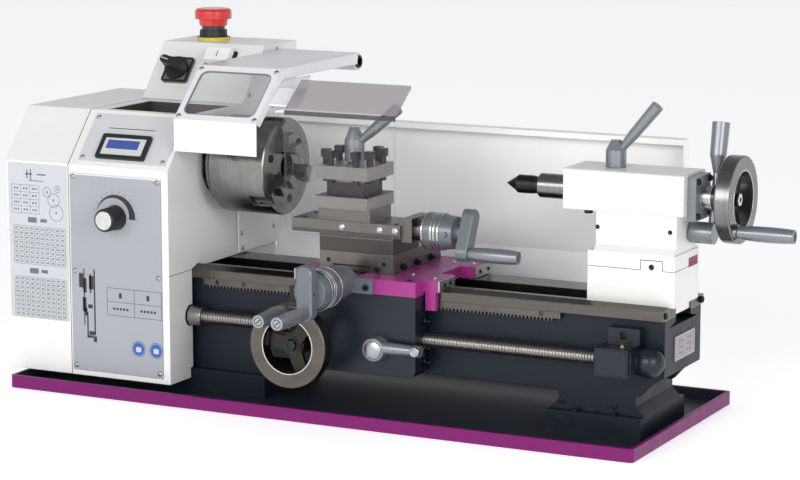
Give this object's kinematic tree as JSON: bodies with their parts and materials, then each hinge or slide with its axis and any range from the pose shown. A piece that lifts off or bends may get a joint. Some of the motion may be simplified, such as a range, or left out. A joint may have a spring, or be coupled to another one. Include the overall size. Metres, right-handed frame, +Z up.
{
  "type": "bench metal lathe",
  "caption": "Bench metalworking lathe: headstock with three-jaw chuck and hinged guards, cast bed, carriage with cross and top slides, tool post, tailstock, splash guard and chip tray.",
  "frame": {"origin": "on the underside of the chip tray, straight below the spindle axis, at the plane of the headstock's right-hand face", "axes": "+X along the bed from the headstock to the tailstock, +Y away from the operator, +Z up; the spindle axis lies at Y 0, Z 0.234 m"},
  "size_m": [0.8278, 0.3823, 0.3795],
  "materials": {
    "tray_paint": "satin paint",
    "bed_paint": "semi-gloss dark blue paint on cast iron",
    "rack_steel": "milled",
    "bearing_steel": "ground",
    "cover_paint": "smooth paint",
    "panel_aluminium": "satin",
    "switch_grey": "matte",
    "stop_red": "gloss",
    "button_white": "gloss",
    "knob_black": "matte",
    "motor_paint": "satin paint",
    "bright_steel": "turned",
    "gear_steel": "machined",
    "bracket_grey": "painted",
    "belt_rubber": "matte",
    "chuck_steel": "ground",
    "jaw_steel": "ground",
    "guard_paint": "smooth paint",
    "clear_plastic": "clear",
    "saddle_paint": "semi-gloss paint on cast iron",
    "wheel_steel": "polished",
    "handle_grey": "satin",
    "nut_brass": "machined",
    "slide_iron": "ground",
    "post_steel": "ground",
    "black_steel": "blackened",
    "tail_paint": "smooth paint on cast iron"
  },
  "bodies": {
    "machine": {"chip_tray": "tray_paint", "bed": "bed_paint", "gear_rack": "rack_steel", "spindle_head": "bed_paint", "spindle_bearings": "bearing_steel", "headstock_cover": "cover_paint", "gear_cover": "cover_paint", "control_box": "cover_paint", "panel_plates": "panel_aluminium", "switch_bases": "switch_grey", "motor": "motor_paint", "screw_bearings": "bracket_grey", "drive_belt": "belt_rubber", "guard_tube": "bright_steel", "splash_guard": "cover_paint"},
    "spindle_unit": {"spindle": "bright_steel", "spindle_drive": "bright_steel", "chuck_body": "chuck_steel"},
    "jaw_1": {"chuck_jaw_1": "jaw_steel"},
    "jaw_2": {"chuck_jaw_2": "jaw_steel"},
    "jaw_3": {"chuck_jaw_3": "jaw_steel"},
    "idler": {"idler_gear": "gear_steel"},
    "screw_unit": {"lead_screw": "bright_steel", "screw_gear": "gear_steel"},
    "motor_rotor": {"motor_pulley": "gear_steel"},
    "guard": {"chuck_guard": "guard_paint", "guard_window": "clear_plastic", "chip_shield": "clear_plastic"},
    "estop": {"estop_button": "stop_red"},
    "start": {"start_button": "button_white"},
    "selector": {"selector_knob": "knob_black"},
    "speed_dial": {"speed_knob": "knob_black"},
    "carriage": {"saddle": "saddle_paint", "way_wipers": "bright_steel", "apron": "bed_paint", "cross_bracket": "handle_grey"},
    "carriage_gear": {"apron_gear": "gear_steel"},
    "carriage_wheel": {"carriage_handwheel": "wheel_steel"},
    "carriage_wheel_grip": {"carriage_grip": "handle_grey"},
    "feed_lever": {"half_nut_lever": "handle_grey"},
    "nut_upper": {"half_nut_upper": "nut_brass"},
    "nut_lower": {"half_nut_lower": "nut_brass"},
    "cross_unit": {"cross_slide": "slide_iron"},
    "cross_feed": {"cross_crank": "handle_grey"},
    "cross_feed_grip": {"cross_grip": "handle_grey"},
    "swivel": {"swivel_base": "slide_iron"},
    "top_unit": {"top_slide": "slide_iron"},
    "top_feed": {"top_crank": "handle_grey"},
    "top_feed_grip": {"top_grip": "handle_grey"},
    "post": {"tool_post": "post_steel", "tool_clamps": "black_steel"},
    "post_lever": {"post_handle": "handle_grey"},
    "tailstock": {"tailstock_base": "tail_paint", "tailstock_body": "tail_paint"},
    "quill_unit": {"quill": "bright_steel", "dead_centre": "black_steel"},
    "tail_wheel": {"tail_handwheel": "wheel_steel"},
    "tail_wheel_grip": {"tail_grip": "handle_grey"},
    "quill_lever": {"quill_lock": "handle_grey"},
    "clamp_lever": {"tail_clamp": "handle_grey"}
  },
  "joints": [
    {"name": "spindle_spin", "type": "hinge", "parent": "machine", "child": "spindle_unit", "pos_m": [0, 0, 0.234], "axis": [1, 0, 0], "continuous": true},
    {"name": "jaw_1_slide", "type": "slide", "parent": "spindle_unit", "child": "jaw_1", "axis": [0, -0.1736, 0.9848], "range_m": [-0.006, 0.01]},
    {"name": "jaw_2_slide", "type": "slide", "parent": "spindle_unit", "child": "jaw_2", "axis": [0, -0.766, -0.6428], "range_m": [-0.006, 0.01]},
    {"name": "jaw_3_slide", "type": "slide", "parent": "spindle_unit", "child": "jaw_3", "axis": [0, 0.9397, -0.342], "range_m": [-0.006, 0.01]},
    {"name": "idler_spin", "type": "hinge", "parent": "machine", "child": "idler", "pos_m": [-0.155, -0.01545, 0.15933], "axis": [1, 0, 0], "continuous": true},
    {"name": "lead_screw_spin", "type": "hinge", "parent": "machine", "child": "screw_unit", "pos_m": [0, -0.059, 0.082], "axis": [1, 0, 0], "continuous": true},
    {"name": "motor_spin", "type": "hinge", "parent": "machine", "child": "motor_rotor", "pos_m": [-0.11, 0.084, 0.172], "axis": [1, 0, 0], "continuous": true},
    {"name": "guard_tilt", "type": "hinge", "parent": "machine", "child": "guard", "pos_m": [0.05, 0.131, 0.33], "axis": [-1, 0, 0], "range_deg": [0, 80]},
    {"name": "estop_press", "type": "slide", "parent": "machine", "child": "estop", "axis": [0, 0, -1], "range_m": [0, 0.004], "stiffness_N_per_m": 1500, "springref_m": -0.002},
    {"name": "start_press", "type": "slide", "parent": "machine", "child": "start", "axis": [0, 0.7666, -0.6422], "range_m": [0, 0.0025], "stiffness_N_per_m": 800, "springref_m": -0.001},
    {"name": "selector_turn", "type": "hinge", "parent": "machine", "child": "selector", "pos_m": [-0.096, 0.07693, 0.31915], "axis": [0, -0.7666, 0.6422], "range_deg": [-60, 60]},
    {"name": "speed_turn", "type": "hinge", "parent": "machine", "child": "speed_dial", "pos_m": [-0.062, -0.1, 0.185], "axis": [0, 1, 0], "range_deg": [-135, 135]},
    {"name": "carriage_travel", "type": "slide", "parent": "machine", "child": "carriage", "axis": [1, 0, 0], "range_m": [-0.012, 0.085]},
    {"name": "carriage_gear_turn", "type": "hinge", "parent": "carriage", "child": "carriage_gear", "pos_m": [0.1557, -0.06, 0.1054], "axis": [0, 1, 0], "continuous": true},
    {"name": "carriage_wheel_turn", "type": "hinge", "parent": "carriage", "child": "carriage_wheel", "pos_m": [0.15, -0.118, 0.076], "axis": [0, 1, 0], "continuous": true},
    {"name": "carriage_grip_spin", "type": "hinge", "parent": "carriage_wheel", "child": "carriage_wheel_grip", "pos_m": [0.147, -0.15, 0.11], "axis": [0, 1, 0], "continuous": true},
    {"name": "nut_upper_close", "type": "slide", "parent": "carriage", "child": "nut_upper", "axis": [0, 0, -1], "range_m": [0, 0.0049]},
    {"name": "nut_lower_close", "type": "slide", "parent": "carriage", "child": "nut_lower", "axis": [0, 0, 1], "range_m": [0, 0.0049]},
    {"name": "feed_lever_turn", "type": "hinge", "parent": "carriage", "child": "feed_lever", "pos_m": [0.228, -0.088, 0.074], "axis": [0, 1, 0], "range_deg": [0, 45]},
    {"name": "cross_travel", "type": "slide", "parent": "carriage", "child": "cross_unit", "axis": [0, -1, 0], "range_m": [-0.04, 0.01]},
    {"name": "cross_crank_turn", "type": "hinge", "parent": "carriage", "child": "cross_feed", "pos_m": [0.189, -0.13, 0.1376], "axis": [0, 1, 0], "continuous": true},
    {"name": "cross_grip_spin", "type": "hinge", "parent": "cross_feed", "child": "cross_feed_grip", "pos_m": [0.189, -0.18, 0.1186], "axis": [0, 1, 0], "continuous": true},
    {"name": "swivel_turn", "type": "hinge", "parent": "cross_unit", "child": "swivel", "pos_m": [0.189, -0.026, 0.17], "axis": [0, 0, -1], "range_deg": [-15, 20]},
    {"name": "top_travel", "type": "slide", "parent": "swivel", "child": "top_unit", "axis": [1, 0, 0], "range_m": [-0.006, 0.03]},
    {"name": "top_crank_turn", "type": "hinge", "parent": "top_unit", "child": "top_feed", "pos_m": [0.296, -0.033, 0.186], "axis": [1, 0, 0], "continuous": true},
    {"name": "top_grip_spin", "type": "hinge", "parent": "top_feed", "child": "top_feed_grip", "pos_m": [0.33, -0.04145, 0.16787], "axis": [1, 0, 0], "continuous": true},
    {"name": "post_turn", "type": "hinge", "parent": "top_unit", "child": "post", "pos_m": [0.175, -0.029, 0.225], "axis": [0, 0, 1], "continuous": true},
    {"name": "post_lever_turn", "type": "hinge", "parent": "top_unit", "child": "post_lever", "pos_m": [0.175, -0.029, 0.26], "axis": [0, 0, 1], "range_deg": [-15, 100]},
    {"name": "tailstock_travel", "type": "slide", "parent": "machine", "child": "tailstock", "axis": [1, 0, 0], "range_m": [-0.055, 0]},
    {"name": "quill_travel", "type": "slide", "parent": "tailstock", "child": "quill_unit", "axis": [1, 0, 0], "range_m": [-0.03, 0.03]},
    {"name": "tail_wheel_turn", "type": "hinge", "parent": "tailstock", "child": "tail_wheel", "pos_m": [0.566, 0, 0.234], "axis": [1, 0, 0], "continuous": true},
    {"name": "tail_grip_spin", "type": "hinge", "parent": "tail_wheel", "child": "tail_wheel_grip", "pos_m": [0.6, -0.022, 0.2065], "axis": [1, 0, 0], "continuous": true},
    {"name": "quill_lock_turn", "type": "hinge", "parent": "tailstock", "child": "quill_lever", "pos_m": [0.4435, 0, 0.265], "axis": [0, 0, 1], "range_deg": [-60, 60]},
    {"name": "clamp_turn", "type": "hinge", "parent": "tailstock", "child": "clamp_lever", "pos_m": [0.53, 0.01, 0.198], "axis": [-1, 0, 0], "range_deg": [0, 35]}
  ],
  "couplings": [
    {"joint": "jaw_2_slide", "follows": "jaw_1_slide", "ratio": 1},
    {"joint": "jaw_3_slide", "follows": "jaw_1_slide", "ratio": 1},
    {"joint": "idler_spin", "follows": "spindle_spin", "ratio": -0.4186},
    {"joint": "lead_screw_spin", "follows": "spindle_spin", "ratio": 0.64286},
    {"joint": "motor_spin", "follows": "spindle_spin", "ratio": 2},
    {"joint": "carriage_gear_turn", "follows": "carriage_travel", "rad_per_m": -133.33},
    {"joint": "carriage_wheel_turn", "follows": "carriage_travel", "rad_per_m": 266.67},
    {"joint": "nut_lower_close", "follows": "nut_upper_close", "ratio": 1},
    {"joint": "feed_lever_turn", "follows": "nut_upper_close", "rad_per_m": 159.93},
    {"joint": "cross_crank_turn", "follows": "cross_travel", "rad_per_m": -2513.3},
    {"joint": "top_crank_turn", "follows": "top_travel", "rad_per_m": 4188.8},
    {"joint": "tail_wheel_turn", "follows": "quill_travel", "rad_per_m": -3141.6}
  ]
}
